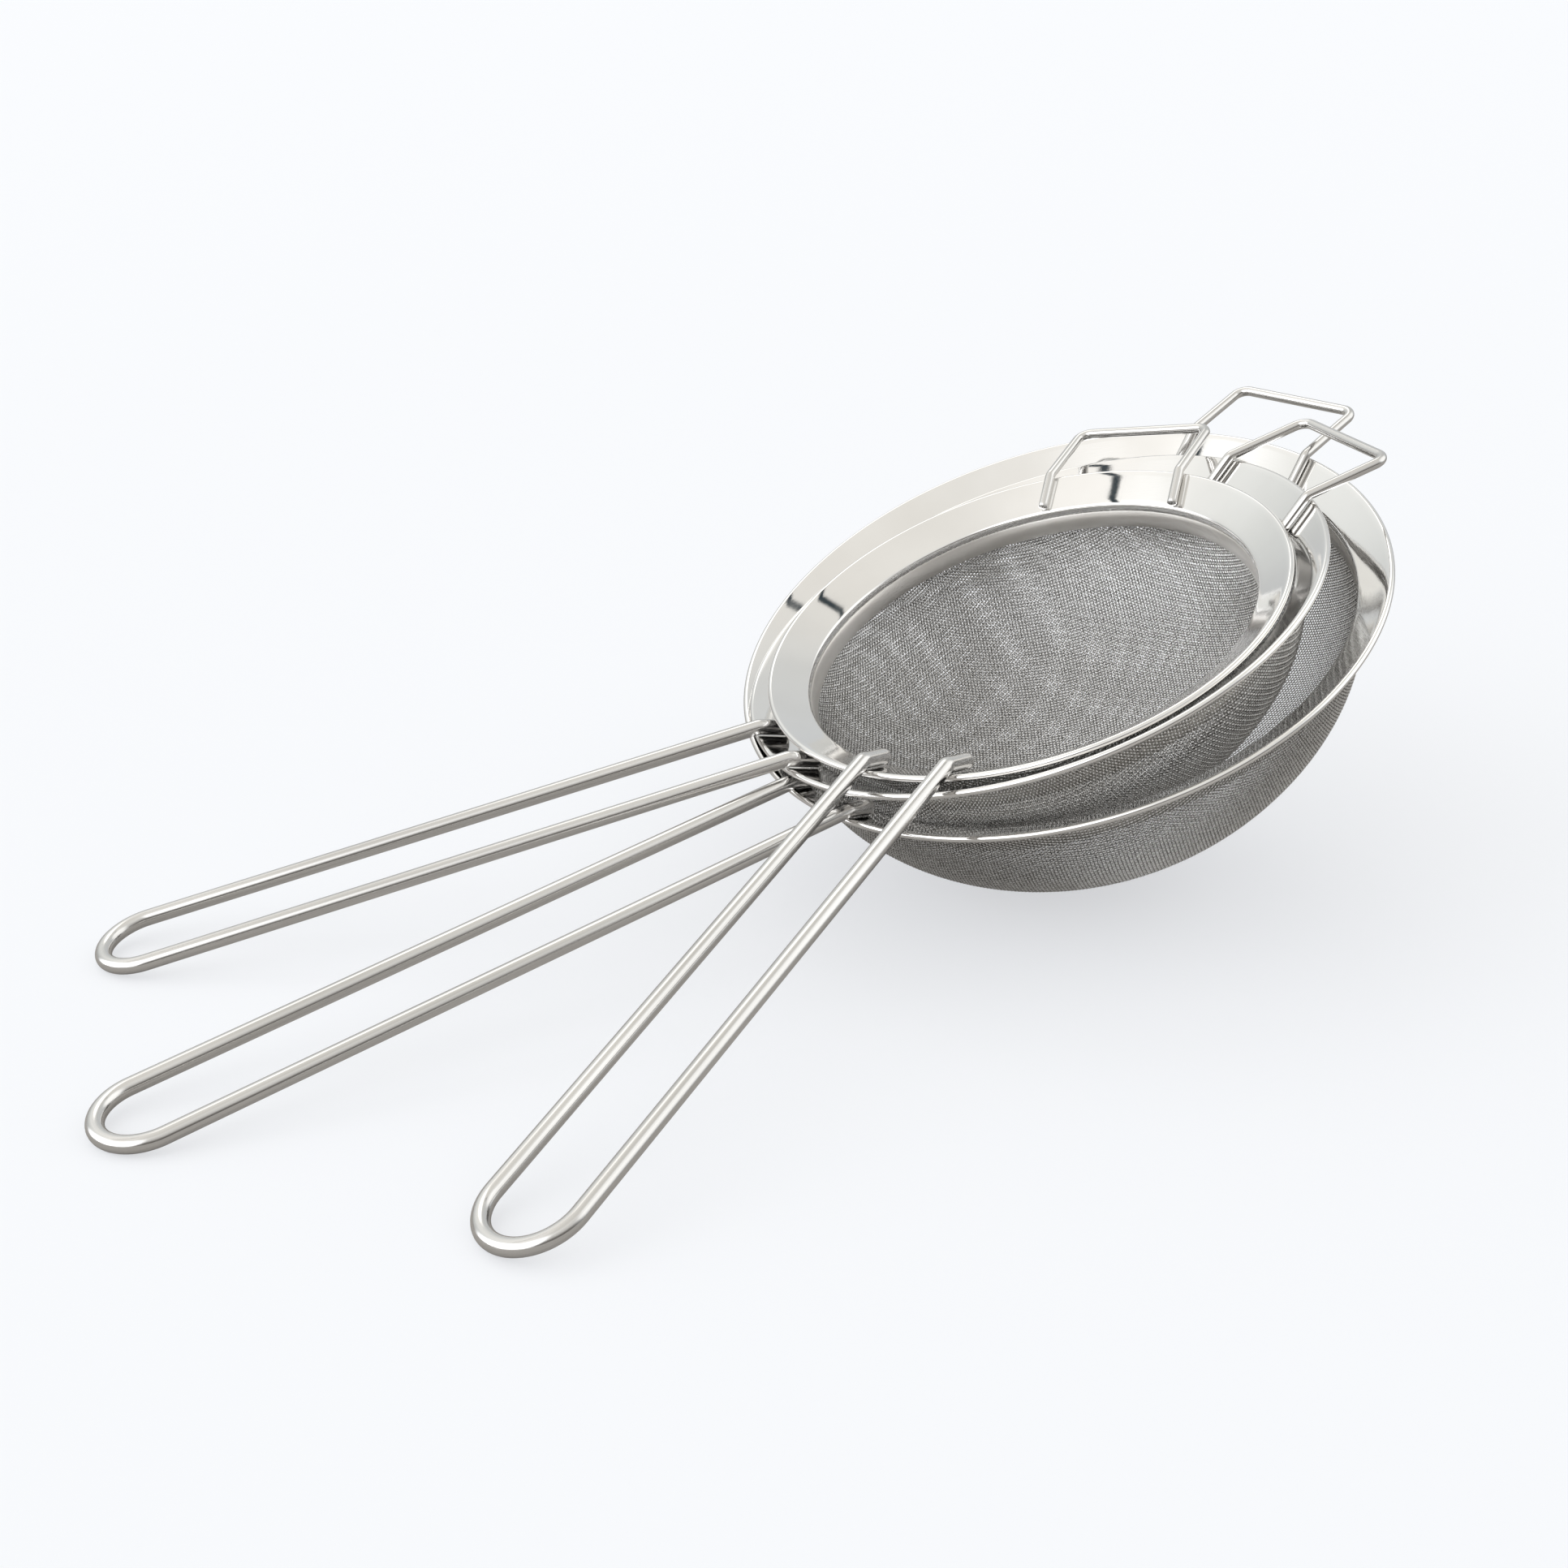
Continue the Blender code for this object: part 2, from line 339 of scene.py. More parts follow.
def steel_weave(name):
    """Drawn wire of the weave: a painted glint on the crown at each crossing, painted shade between crossings."""
    n = Material(name)
    n.set(Metallic=1.0)
    mark = n.split(n.add("ShaderNodeTexCoord").outputs["UV"])
    wave = n.math("COSINE", n.math("MULTIPLY", mark["X"], math.tau))
    # Painted glint on the crown at each crossing, painted shade midway between crossings.
    painted_crown_glint_and_shade = n.spread(wave, 0.22, 1.0, from_low=-1.0, from_high=1.0)
    chance = n.add("ShaderNodeTexWhiteNoise", noise_dimensions="2D")
    n.link(n.join(X=n.math("ROUND", mark["X"]), Y=mark["Y"]), chance.inputs["Vector"])
    tone = n.math("MULTIPLY", painted_crown_glint_and_shade, n.spread(chance.outputs["Value"], 0.6, 1.0))
    n.drive(
        Base_Color=n.ramp(tone, list(zip((0.14, 0.52), WEAVE_SHADE_TO_GLINT_TONES))),
        Roughness=n.spread(chance.outputs["Value"], 0.14, 0.30),
    )
    return n.mat


def steel_wire(name, shine):
    """Drawn wire with lengthwise streaks and small handling marks, along the wire's own UV map."""
    n = Material(name)
    n.set(Metallic=1.0)
    streak = n.noise(n.along_wire(along=3.0, around=900.0), scale=1.0, detail=4.0, rough=0.6)
    broad = n.noise(n.along_wire(along=9.0, around=140.0), scale=1.0, detail=2.0, rough=0.5)
    marks = n.noise(n.local(), scale=260.0, detail=5.0, rough=0.65, distortion=0.6)
    tone = n.math("ADD", n.math("MULTIPLY", streak, 0.45), n.math("MULTIPLY", broad, 0.55))
    streaky = n.spread(streak, shine, shine + 0.08, from_low=0.3, from_high=0.7)
    marked = n.spread(marks, 0.0, 0.06, from_low=0.5, from_high=0.8)
    drawn = n.bump(streak, strength=0.25, distance=0.03 * MM)
    n.drive(
        Base_Color=n.ramp(tone, list(zip((0.32, 0.66), WIRE_TONES))),
        Roughness=n.math("ADD", streaky, marked),
        Normal=n.bump(marks, strength=0.12, distance=0.05 * MM, normal=drawn),
    )
    return n.mat


# ---------------------------------------------------------------- mesh helpers

def mesh_object(name, points, face_groups, material, matrix, uvs=None):
    """A smooth mesh from numpy points and groups of faces; all faces of a group have as many corners."""
    mesh = bpy.data.meshes.new(name)
    mesh.vertices.add(len(points))
    mesh.vertices.foreach_set("co", np.asarray(points, np.float32).ravel())
    corners = np.concatenate([group.ravel() for group in face_groups]).astype(np.int32)
    counts = np.concatenate([np.full(len(group), group.shape[1]) for group in face_groups])
    mesh.loops.add(len(corners))
    mesh.loops.foreach_set("vertex_index", corners)
    mesh.polygons.add(len(counts))
    starts = np.concatenate([[0], np.cumsum(counts)[:-1]]).astype(np.int32)
    mesh.polygons.foreach_set("loop_start", starts)
    mesh.polygons.foreach_set("use_smooth", np.ones(len(counts), bool))
    mesh.update(calc_edges=True)
    if uvs is not None:
        layer = mesh.uv_layers.new(name="wire_map")
        layer.data.foreach_set("uv", np.asarray(uvs, np.float32).ravel())
    mesh.validate()
    mesh.transform(matrix)
    mesh.materials.append(material)
    ob = bpy.data.objects.new(name, mesh)
    bpy.context.scene.collection.objects.link(ob)
    return ob


def turned(name, section, steps, material, matrix):
    """A closed section of (radius, height) points, run anticlockwise, turned about the axis."""
    section = np.array(section, float)
    count = len(section)
    angles = np.arange(steps) * math.tau / steps
    points = np.zeros((steps, count, 3))
    points[:, :, 0] = section[:, 0] * np.cos(angles)[:, None]
    points[:, :, 1] = section[:, 0] * np.sin(angles)[:, None]
    points[:, :, 2] = section[:, 1]
    step, side = np.meshgrid(np.arange(steps), np.arange(count), indexing="ij")
    after, beside = (step + 1) % steps, (side + 1) % count
    quads = [step * count + side, after * count + side, after * count + beside, step * count + beside]
    faces = np.stack(quads, -1).reshape(-1, 4)
    return mesh_object(name, points.reshape(-1, 3), [faces], material, matrix)


def arc(cx, cz, radius, start, end, count):
    """Points round (cx, cz), angles in degrees from +X towards +Z, both ends included."""
    angles = [math.radians(start + (end - start) * i / (count - 1)) for i in range(count)]
    return [(cx + radius * math.cos(a), cz + radius * math.sin(a)) for a in angles]


def between(first, last, parts=8):
    """The points that split a straight run of a section into equal parts, without its ends."""
    shares = [i / parts for i in range(1, parts)]
    return [(first[0] * (1 - t) + last[0] * t, first[1] * (1 - t) + last[1] * t) for t in shares]


def rim_section(rim_r):
    """Flange sheet tangent to the top of a rolled bead, its inner edge turned down to a short lip."""
    normal = 90.0 + math.degrees(FLANGE_ANGLE)
    bead_x = rim_r - BEAD_R
    under_sheet = math.degrees(math.asin((BEAD_R - SHEET) / BEAD_R))
    bead = arc(bead_x, 0.0, BEAD_R, normal, normal - 270.0 - under_sheet, 25)
    inner = rim_r - FLANGE_WIDTH
    lip_x = inner + LIP_TURN_R
    flange_top = BEAD_R / math.cos(FLANGE_ANGLE) - (bead_x - lip_x) * math.tan(FLANGE_ANGLE)
    lip_z = flange_top - LIP_TURN_R / math.cos(FLANGE_ANGLE)
    outer_lip = arc(lip_x, lip_z, LIP_TURN_R, 180.0, normal, 9)
    inner_lip = arc(lip_x, lip_z, LIP_TURN_R - SHEET, normal, 180.0, 7)
    foot = lip_z - LIP_DROP
    foot_edge = [
        (inner + SHEET, foot + LIP_EDGE), (inner + SHEET - LIP_EDGE, foot),
        (inner + LIP_EDGE, foot), (inner, foot + LIP_EDGE),
    ]
    top_line = between(outer_lip[-1], bead[0])
    under = between(bead[-1], inner_lip[0])
    return bead + under + inner_lip + foot_edge + outer_lip + top_line, foot


def band_section(rim_r, top):
    """The upright band: its edges are broken, and its lower end is tucked in a little."""
    inner = rim_r - FLANGE_WIDTH
    outer = inner + BAND_SHEET
    low = top - BAND_HEIGHT
    return [
        (outer, top - BAND_EDGE), (outer - HEM_TAPER, low + BAND_EDGE),
        (outer - BAND_EDGE - HEM_TAPER, low), (inner + BAND_EDGE - HEM_TAPER, low),
        (inner - HEM_TAPER, low + BAND_EDGE), (inner, top - BAND_EDGE),
        (inner + BAND_EDGE, top), (outer - BAND_EDGE, top),
    ]


def unit(vectors):
    return vectors / np.linalg.norm(vectors, axis=-1, keepdims=True)


def tube(name, path, radius, sides, material, matrix):
    """A round wire along a path, its cut ends a little rounded; its UV map is along and round it in metres."""
    path = np.array([tuple(p) for p in path], float)
    runs = np.diff(path, axis=0)
    length = np.concatenate([[0.0], np.cumsum(np.linalg.norm(runs, axis=1))])
    ahead = unit(runs)
    tangent = unit(np.vstack([ahead[:1], ahead[:-1] + ahead[1:], ahead[-1:]]))

    # Each ring is (point of the path, how far it is moved along the wire, its radius).
    edge = radius * CUT_EDGE
    cut = [
        (0.0, radius * CUT_FACE), (0.0, radius - edge),
        (edge * CUT_BEND_BACK, radius - edge * CUT_BEND_IN), (edge, radius),
    ]
    last = len(path) - 1
    rings = [(0, back, size) for back, size in cut]
    rings += [(i, 0.0, radius) for i in range(1, last)]
    rings += [(last, -back, size) for back, size in cut[::-1]]

    ways = [unit(np.cross(tangent[0], (0.0, 0.0, 1.0)))]
    for i in range(1, len(path)):
        ways.append(unit(ways[-1] - tangent[i] * np.dot(ways[-1], tangent[i])))
    turn = np.arange(sides) * math.tau / sides
    points, along = [], []
    for index, shift, size in rings:
        first = ways[index]
        second = np.cross(tangent[index], first)
        middle = path[index] + tangent[index] * shift
        ring = np.cos(turn)[:, None] * first + np.sin(turn)[:, None] * second
        points.append(middle + ring * size)
        along.append(length[index] + shift)
    points = np.array(points).reshape(-1, 3)
    along = np.array(along)

    count = len(rings)
    around = math.tau * radius / sides
    ring, side = np.meshgrid(np.arange(count - 1), np.arange(sides), indexing="ij")
    quads, uv = [], []
    for next_ring, next_side in ((0, 0), (0, 1), (1, 1), (1, 0)):
        quads.append((ring + next_ring) * sides + (side + next_side) % sides)
        uv.append(np.stack([along[ring + next_ring], (side + next_side) * around], -1))
    quads = np.stack(quads, -1).reshape(-1, 4)
    uv = np.stack(uv, 2).reshape(-1, 2)
    caps = np.array([np.arange(sides)[::-1], (count - 1) * sides + np.arange(sides)])
    cap_uv = np.zeros((2 * sides, 2))
    cap_uv[sides:, 0] = along[-1]
    return mesh_object(name, points, [quads, caps], material, matrix, np.vstack([uv, cap_uv]))


def fillet(points, radius, count):
    """The path with its inner corners rounded, each with count + 1 points."""
    path = [Vector(points[0])]
    for before, corner, after in zip(points, points[1:], points[2:]):
        corner = Vector(corner)
        back = (Vector(before) - corner).normalized()
        on = (Vector(after) - corner).normalized()
        half = back.angle(on) / 2.0
        middle = corner + (back + on).normalized() * (radius / math.sin(half))
        first = corner + back * (radius / math.tan(half)) - middle
        last = corner + on * (radius / math.tan(half)) - middle
        sweep = first.angle(last)
        for k in range(count + 1):
            t = k / count
            mix = (first * math.sin((1.0 - t) * sweep) + last * math.sin(t * sweep)) / math.sin(sweep)
            path.append(middle + mix)
    path.append(Vector(points[-1]))
    return path


def over_bead(rim_r, wire_r, weld, slope, half, count):
    """A leg at half off the centre plane: along the flange, then round the bead to its slope beyond."""
    bead_x = rim_r - BEAD_R
    lift = BEAD_R + wire_r + GAP
    sine, cosine = math.sin(FLANGE_ANGLE), math.cos(FLANGE_ANGLE)
    side = []
    for i in range(WELD_STEPS):
        back = weld * (1.0 - i / WELD_STEPS)
        side.append((bead_x - lift * sine - back * cosine, lift * cosine - back * sine))
    side += arc(bead_x, 0.0, lift, 90.0 + math.degrees(FLANGE_ANGLE), 90.0 + slope, count)
    return [(math.sqrt(r * r - half * half), z) for r, z in side]


def dense(path, step):
    """The path with extra points on its long straight runs."""
    out = [Vector(path[0])]
    for a, b in zip(path[:-1], path[1:]):
        a, b = Vector(a), Vector(b)
        parts = max(1, int((b - a).length / step))
        for k in range(1, parts + 1):
            out.append(a.lerp(b, k / parts))
    return out


def handle_path(spec):
    """Both legs lie on the flange, bend over the bead and run straight to the end loop, a little askew."""
    rim_r = spec["rim_r"] * MM
    slope = math.radians(spec["slope"])
    half = spec["leg_half"] * MM
    reach = spec["reach"] * MM
    height = spec["from_height"] * MM + reach * math.sin(slope)
    root = Vector((rim_r, spec["root_shift"] * MM, HANDLE_ROOT_HEIGHT))
    end = Vector((rim_r + reach * math.cos(slope), spec["end_shift"] * MM, height))
    along = (end - root).normalized()
    across = Vector((-along.y, along.x, 0.0)).normalized()
    rise = math.degrees(math.asin(along.z))

    def leg(sign):
        y = root.y + sign * half
        side = over_bead(rim_r, HANDLE_WIRE_R, spec["weld"] * MM, rise, y, 12)
        return dense([Vector((x, y, z)) for x, z in side] + [end + across * (half * sign)], HANDLE_STEP)

    path = leg(1.0)
    for i in range(1, HANDLE_LOOP_STEPS):
        a = math.pi * (0.5 - i / HANDLE_LOOP_STEPS)
        path.append(end + along * (half * math.cos(a)) + across * (half * math.sin(a)))
    return path + leg(-1.0)[::-1]


def hook_path(spec):
    """A flat loop with two round corners on the far side of the rim; its legs lie on the flange too."""
    rim_r = spec["rim_r"] * MM
    slope = math.radians(spec["hook_slope"])
    half = HOOK_HALF_WIDTH
    side = over_bead(rim_r, HOOK_WIRE_R, HOOK_WELD, spec["hook_slope"], half, 10)
    x0, z0 = side[-1]
    end_x = rim_r + spec["hook_reach"] * MM * math.cos(slope)
    end_z = z0 + (end_x - x0) * math.tan(slope)
    corners = [(x0, half, z0), (end_x, half, end_z), (end_x, -half, end_z), (x0, -half, z0)]
    path = [Vector((x, half, z)) for x, z in side[:-1]] + fillet(corners, HOOK_CORNER_R, 12)
    path += [Vector((x, -half, z)) for x, z in reversed(side[:-1])]
    turn = Matrix.Rotation(math.radians(180.0 + spec["hook_turn"]), 3, "Z")
    return dense([turn @ p for p in path], HOOK_STEP)


# ---------------------------------------------------------------- the weave

def halved(low, high, is_low, rounds):
    """The place between low and high where is_low stops being true, found by halving; numbers or arrays."""
    for _ in range(rounds):
        middle = (low + high) / 2.0
        below = is_low(middle)
        low = np.where(below, middle, low)
        high = np.where(below, high, middle)
    return low, high


class Bowl:
    """The middle surface of the mesh: a straight hem over a rounded bowl. side() is below 0 inside it."""

    SLOPE_STEP = 0.02 * MM
    WIDEST_FOLD = 0.7
    OFF_SURFACE = 0.01

    def __init__(self, spec, top):
        outer = spec["rim_r"] * MM - FLANGE_WIDTH + BAND_SHEET + GAP + MESH_SHEET
        self.radius = outer - HEM_TAPER - MESH_SHEET / 2.0
        self.depth = spec["depth"] * MM - MESH_SHEET / 2.0
        self.top = top
        self.hem = top - BAND_HEIGHT

    def side(self, points):
        r = np.hypot(points[..., 0], points[..., 1])
        z = points[..., 2] - self.hem
        low = np.clip(-z, 0.0, None) / self.depth
        wide = r / (self.radius + HEM_TAPER * np.clip(z, 0.0, None) / BAND_HEIGHT)
        return (wide ** BOWL_POWER + low ** BOWL_POWER) ** (1.0 / BOWL_POWER) - 1.0

    def normal(self, points):
        moves = np.eye(3) * self.SLOPE_STEP
        return unit(np.stack([self.side(points + move) - self.side(points - move) for move in moves], -1))

    def next_point(self, a, b, c):
        """Points one pitch from both a and b on the surface, on the side away from c."""
        middle = (a + b) / 2.0
        across = b - a
        gap = np.linalg.norm(across, axis=-1, keepdims=True)
        across = across / gap
        reach = np.sqrt(np.clip(PITCH * PITCH - gap * gap / 4.0, 1e-12, None))
        guess = a + b - c - middle
        first = unit(guess - across * np.sum(guess * across, -1, keepdims=True))
        second = np.cross(across, first)

        def at(angle):
            return middle + reach * (np.cos(angle)[:, None] * first + np.sin(angle)[:, None] * second)

        low = np.full(len(a), -self.WIDEST_FOLD)
        low_side = np.sign(self.side(at(low)))
        low, high = halved(low, -low, lambda angle: np.sign(self.side(at(angle))) == low_side, 26)
        return at((low + high) / 2.0)

    def spine(self, limit, size):
        """Crossings one pitch apart from the bowl's lowest point straight up one side."""
        line = [np.array([0.0, 0.0, self.hem - self.depth])]

        def ahead(angle):
            return line[-1] + PITCH * np.array([math.cos(angle), 0.0, math.sin(angle)])

        lowest, highest = math.radians(-60.0), math.radians(120.0)
        while line[-1][2] < limit and len(line) < size:
            outside, inside = halved(lowest, highest, lambda angle: self.side(ahead(angle)) > 0.0, 40)
            line.append(ahead((outside + inside) / 2.0))
        return np.array(line)

    def net(self):
        """Crossings of one quarter of the weave: grid[i, j], with nan where it would be off the bowl."""
        size = int((self.radius * 1.6 + self.depth * 1.2) / PITCH)
        grid = np.full((size, size, 3), np.nan)
        limit = self.top + ABOVE_HEM
        line = self.spine(limit, size)
        grid[:len(line), 0] = line
        grid[0, :len(line)] = line[:, [1, 0, 2]]
        for total in range(2, 2 * size - 1):
            i = np.arange(max(1, total - size + 1), min(size, total))
            j = total - i
            a, b, c = grid[i - 1, j], grid[i, j - 1], grid[i - 1, j - 1]
            good = ~np.isnan(a[:, 0]) & ~np.isnan(b[:, 0]) & ~np.isnan(c[:, 0])
            if not good.any():
                if total > size:
                    break
                continue
            i, j, a, b, c = i[good], j[good], a[good], b[good], c[good]
            made = self.next_point(a, b, c)
            made[made[:, 2] > limit] = np.nan
            made[np.abs(self.side(np.nan_to_num(made))) > self.OFF_SURFACE] = np.nan
            grid[i, j] = made
        return grid


def full_net(quarter):
    """All four quarters from one, by mirroring."""
    size = len(quarter)
    whole = np.full((2 * size - 1, 2 * size - 1, 3), np.nan)
    for sx in (1, -1):
        for sy in (1, -1):
            xs = size - 1 + sx * np.arange(size)
            ys = size - 1 + sy * np.arange(size)
            whole[np.ix_(xs, ys)] = quarter * np.array([sx, sy, 1.0])
    return whole


def cut_at_hem(line, away, level, top):
    """One row's path, outward ways and places in the row, cut off at the hem's top; None if it is too short."""
    inside = ~np.isnan(level) & (np.nan_to_num(level, nan=1.0) <= top)
    if inside.sum() < 3:
        return None
    places = np.nonzero(inside)[0]
    first, last = places[0], places[-1]
    if not inside[first:last + 1].all():
        return None
    path, out = line[first:last + 1], away[first:last + 1]
    mark = np.arange(first, last + 1).astype(float)
    for end, here, beyond in ((0, first, first - 1), (-1, last, last + 1)):
        if not (0 <= beyond < len(level)) or math.isnan(level[beyond]):
            continue
        share = (top - level[here]) / (level[beyond] - level[here])
        extra = line[here] * (1.0 - share) + line[beyond] * share
        if end == 0:
            path, out = np.vstack([extra, path]), np.vstack([out[:1], out])
            mark = np.concatenate([[mark[0] - share], mark])
        else:
            path, out = np.vstack([path, extra]), np.vstack([out, out[-1:]])
            mark = np.concatenate([mark, [mark[-1] + share]])
    return path, out, mark


def weave_wires(bowl, net, flip, seed):
    """Three-sided wires through each row of the net, going over and under by turns: points, faces and UVs.

    The UV map counts crossings along a wire and names the row, so that the steel can differ at each crossing and
    carry a painted glint on each crown and painted shade between crossings.
    """
    flat = net.reshape(-1, 3)
    normals = np.full_like(flat, np.nan)
    good = ~np.isnan(flat[:, 0])
    normals[good] = bowl.normal(flat[good])
    normals = normals.reshape(net.shape)
    rows, cols = np.meshgrid(np.arange(net.shape[0]), np.arange(net.shape[1]), indexing="ij")
    lift = np.where((rows + cols) % 2 == 0, 1.0, -1.0) * (-1.0 if flip else 1.0)
    random = np.random.default_rng(seed)
    jitter = random.normal(0.0, WEAVE_JITTER, net.shape)
    centre = net + normals * (lift * WEAVE_LIFT)[..., None] + jitter

    corner = np.array([0.0, 1.0, 2.0]) * math.tau / 3.0 + (0.0 if flip else math.pi)
    points, sides, ends, side_uv, end_uv = [], [], [], [], []
    base = 0
    for row in range(len(net)):
        wire = cut_at_hem(centre[row], normals[row], net[row][:, 2], bowl.top)
        if wire is None:
            continue
        path, out, mark = wire
        ahead = unit(np.gradient(path, axis=0))
        across = unit(np.cross(ahead, out))
        up = np.cross(across, ahead)
        circle = (np.cos(corner)[None, :, None] * up[:, None, :]
                  + np.sin(corner)[None, :, None] * across[:, None, :])
        points.append((path[:, None, :] + circle * WEAVE_R).reshape(-1, 3))

        count = len(path)
        step, side = np.meshgrid(np.arange(count - 1), np.arange(3), indexing="ij")
        beside = (side + 1) % 3
        this_ring, next_ring = base + step * 3, base + (step + 1) * 3
        quad = np.stack([next_ring + side, next_ring + beside, this_ring + beside, this_ring + side], -1)
        sides.append(quad.reshape(-1, 4))
        here, after = mark[step].reshape(-1), mark[step + 1].reshape(-1)
        corners = [np.stack([u, np.full(len(u), float(row))], -1) for u in (after, after, here, here)]
        side_uv.append(np.stack(corners, 1).reshape(-1, 2))
        last = base + 3 * count - 1
        ends.append(np.array([[base, base + 1, base + 2], [last, last - 1, last - 2]]))
        end_uv.append(np.array([[mark[0], row]] * 3 + [[mark[-1], row]] * 3))
        base += 3 * count
    return np.vstack(points), [np.vstack(sides), np.vstack(ends)], np.vstack(side_uv + end_uv)


# ---------------------------------------------------------------- the strainers

WEAVE_STEEL = steel_weave("woven_wire_steel")
HANDLE_STEEL = steel_wire("handle_drawn_wire_steel", 0.12)
HOOK_STEEL = steel_wire("hook_drawn_wire_steel", 0.10)


def place_of(spec):
    """From the strainer's own frame to the set's: turned about its axis, tilted, and turned to where it dips."""
    shift = Matrix.Translation([(c + s) * MM for c, s in zip(spec["centre"], SET_SHIFT)])
    dip = Matrix.Rotation(math.radians(spec["dip"]), 4, "Z")
    tilt = Matrix.Rotation(math.radians(spec["tilt"]), 4, "Y")
    turn = Matrix.Rotation(math.radians(spec["turn"]), 4, "Z")
    return shift @ (dip @ tilt) @ turn


def finish_piece(ob, size, node):
    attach(ob, size + "_strainer")
    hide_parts(size + "_" + node)


def make_strainer(size, spec, seed):
    matrix = place_of(spec)
    rim_r = spec["rim_r"] * MM
    section, foot = rim_section(rim_r)
    rim_steel = steel_rim(size + "_rim_polished_steel", matrix)
    rim = turned(size + "_rolled_rim", section, RIM_STEPS, rim_steel, matrix)
    finish_piece(rim, size, "rim")

    top = foot - GAP
    band_steel = steel_band(size + "_band_satin_steel", matrix)
    band = turned(size + "_hem_band", band_section(rim_r, top), BAND_STEPS, band_steel, matrix)
    finish_piece(band, size, "clamp_band")

    bowl = Bowl(spec, top)
    net = full_net(bowl.net())
    turn = matrix @ Matrix.Rotation(math.radians(spec["weave"]), 4, "Z")
    for part, grid, flip in (("warp", net, False), ("weft", net.transpose(1, 0, 2), True)):
        points, faces, marks = weave_wires(bowl, grid, flip, seed + int(flip))
        wires = mesh_object(size + "_mesh_" + part, points, faces, WEAVE_STEEL, turn, marks)
        finish_piece(wires, size, "mesh_bowl")

    handle = tube(size + "_loop_handle", handle_path(spec), HANDLE_WIRE_R, HANDLE_SIDES, HANDLE_STEEL, matrix)
    finish_piece(handle, size, "handle")
    hook = tube(size + "_wire_rest", hook_path(spec), HOOK_WIRE_R, HOOK_SIDES, HOOK_STEEL, matrix)
    finish_piece(hook, size, "rest_hook")


for number, (size_name, values) in enumerate(SIEVES.items()):
    make_strainer(size_name, values, FIRST_SEED + 2 * number)


# ---------------------------------------------------------------- floor, light and camera

def direction(azimuth, elevation):
    a, e = math.radians(azimuth), math.radians(elevation)
    return Vector((math.cos(a) * math.cos(e), math.sin(a) * math.cos(e), math.sin(e)))


def flat_card(name, centre, turn, width, length, material):
    """A rectangular stage card, its width along its own X and facing along its own Z."""
    mesh = bpy.data.meshes.new(name)
    w, h = width / 2.0, length / 2.0
    mesh.from_pydata([(-w, -h, 0.0), (w, -h, 0.0), (w, h, 0.0), (-w, h, 0.0)], [], [(0, 1, 2, 3)])
    mesh.materials.append(material)
    ob = bpy.data.objects.new(name, mesh)
    ob.rotation_mode = "QUATERNION"
    ob.rotation_quaternion = turn
    ob.location = centre
    bpy.context.scene.collection.objects.link(ob)


def make_floor():
    """Pale paper that the camera sees evenly lit; the steel mirrors it as duller paper."""
    n = Material("floor_pale")
    n.set(
        Base_Color=(*FLOOR_PAPER, 1.0), Roughness=MATT, Specular_IOR_Level=0.1,
        Emission_Color=(*FLOOR_GLOW, 1.0), Emission_Strength=FLOOR_GLOW_STRENGTH,
    )
    mirrored = n.add("ShaderNodeBsdfDiffuse")
    mirrored.inputs["Color"].default_value = (*FLOOR_MIRRORED, 1.0)
    mix = n.add("ShaderNodeMixShader")
    n.link(n.add("ShaderNodeLightPath").outputs["Is Camera Ray"], mix.inputs["Fac"])
    n.link(mirrored.outputs["BSDF"], mix.inputs[1])
    n.link(n.shader.outputs["BSDF"], mix.inputs[2])
    n.link(mix.outputs["Shader"], n.tree.nodes["Material Output"].inputs["Surface"])
    level = Vector((0.0, 0.0, 1.0)).to_track_quat("Z", "Y")
    flat_card("floor", (0.0, 0.0, 0.0), level, FLOOR_SIZE, FLOOR_SIZE, n.mat)


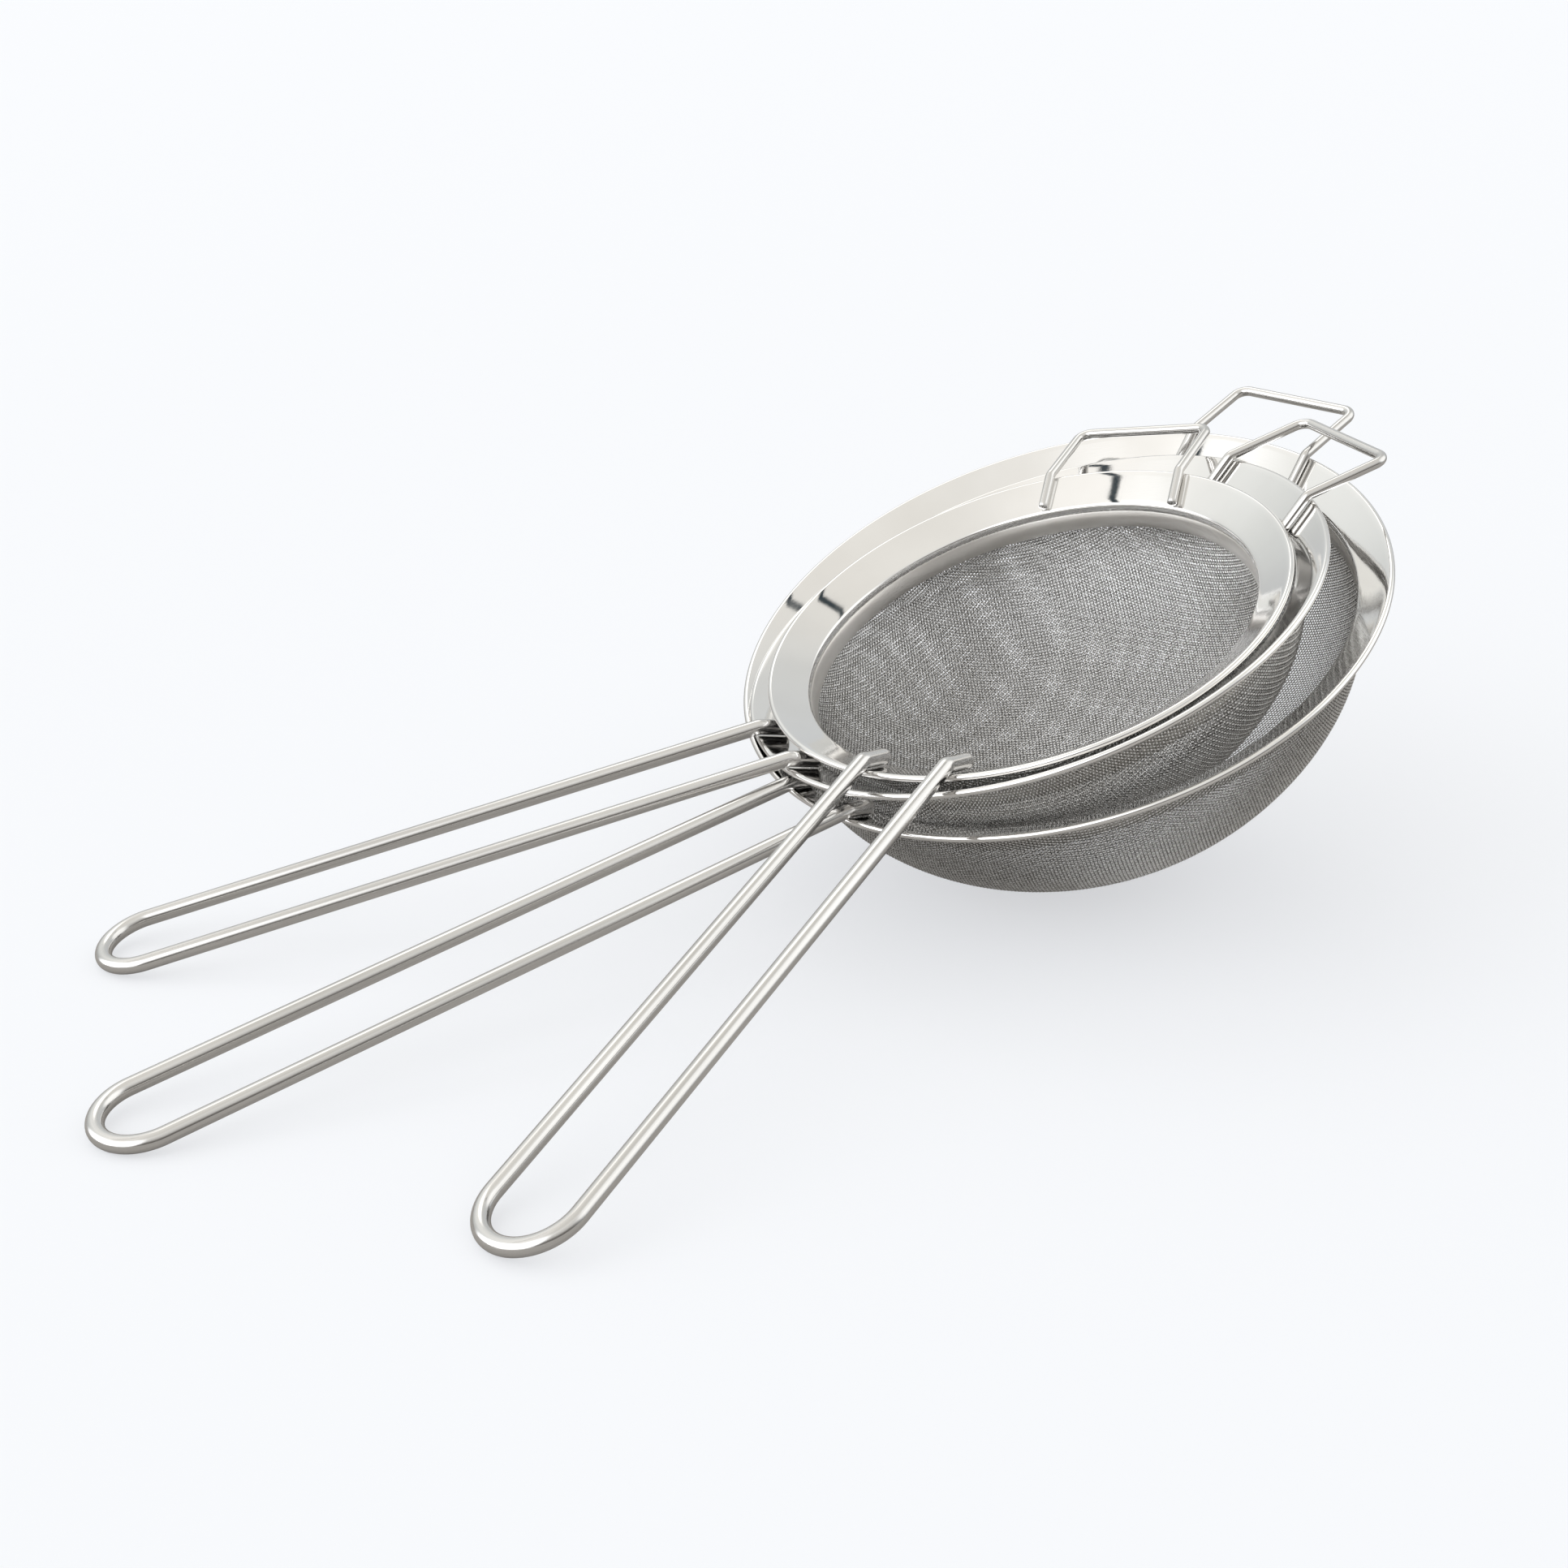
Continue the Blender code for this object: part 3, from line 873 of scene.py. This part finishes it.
class Sky(Nodes):
    """The studio round the object: one tone for each height, blended from side to side."""

    def __init__(self):
        world = bpy.data.worlds.new("studio")
        bpy.context.scene.world = world
        world.use_nodes = True
        super().__init__(world.node_tree)
        self.view = self.add("ShaderNodeTexCoord").outputs["Generated"]

    def facing(self, azimuth, elevation, low, high):
        node = self.add("ShaderNodeVectorMath", operation="DOT_PRODUCT")
        self.link(self.view, node.inputs[0])
        node.inputs[1].default_value = direction(azimuth, elevation)
        spread = self.add("ShaderNodeMapRange", interpolation_type="SMOOTHSTEP")
        spread.inputs["From Min"].default_value = low
        spread.inputs["From Max"].default_value = high
        self.link(node.outputs["Value"], spread.inputs["Value"])
        return spread.outputs["Result"]

    def colour(self, value):
        node = self.add("ShaderNodeRGB")
        node.outputs[0].default_value = (*value, 1.0)
        return node.outputs[0]

    def mix(self, share, first, second):
        node = self.add("ShaderNodeMix", data_type="RGBA")
        self.link(share, node.inputs["Factor"])
        self.link(first, node.inputs["A"])
        self.link(second, node.inputs["B"])
        return node.outputs["Result"]


def make_sky():
    """Three sides and four bright panels light the steel; the camera itself sees a plain backdrop."""
    sky = Sky()
    height = sky.split(sky.view)["Z"]
    tones = sky.mix(sky.facing(*LEFT_FACING), sky.ramp(height, RIGHT_SIDE), sky.ramp(height, LEFT_SIDE))
    tones = sky.mix(sky.facing(*NEAR_FACING), tones, sky.ramp(height, NEAR_SIDE))
    for facing, colour in PANELS:
        tones = sky.mix(sky.facing(*facing), tones, sky.colour(colour))
    seen = sky.add("ShaderNodeLightPath").outputs["Is Camera Ray"]
    tones = sky.mix(seen, tones, sky.colour(BACKDROP))
    sky.link(tones, sky.tree.nodes["Background"].inputs["Color"])


def make_flags():
    """Dark strips far from the object, which the polished flanges mirror as thin stripes."""
    n = Material("flag_slate")
    n.set(Base_Color=(*FLAG_SLATE, 1.0), Roughness=MATT)
    for name, (azimuth, elevation, width_way) in FLAGS.items():
        out = direction(azimuth, elevation)
        along = Vector(width_way)
        along = (along - out * along.dot(out)).normalized()
        up = (-out).cross(along)
        turn = Matrix((along, up, -out)).transposed().to_quaternion()
        flat_card(name, out * FLAG_DISTANCE + FLAG_CENTRE, turn, FLAG_WIDTH, FLAG_LENGTH, n.mat)


def make_camera():
    data = bpy.data.cameras.new("camera")
    data.sensor_width = SENSOR_WIDTH
    data.lens = SENSOR_WIDTH * FOCAL_SHARE
    data.clip_start = 0.01
    data.clip_end = 100.0
    camera = bpy.data.objects.new("camera", data)
    camera.location = CAMERA_PLACE
    camera.rotation_mode = "QUATERNION"
    camera.rotation_quaternion = CAMERA_LOOK.to_track_quat("-Z", "Y")
    bpy.context.scene.collection.objects.link(camera)
    bpy.context.scene.camera = camera


make_floor()
make_sky()
make_flags()
make_camera()
bpy.context.scene.view_settings.view_transform = "Standard"
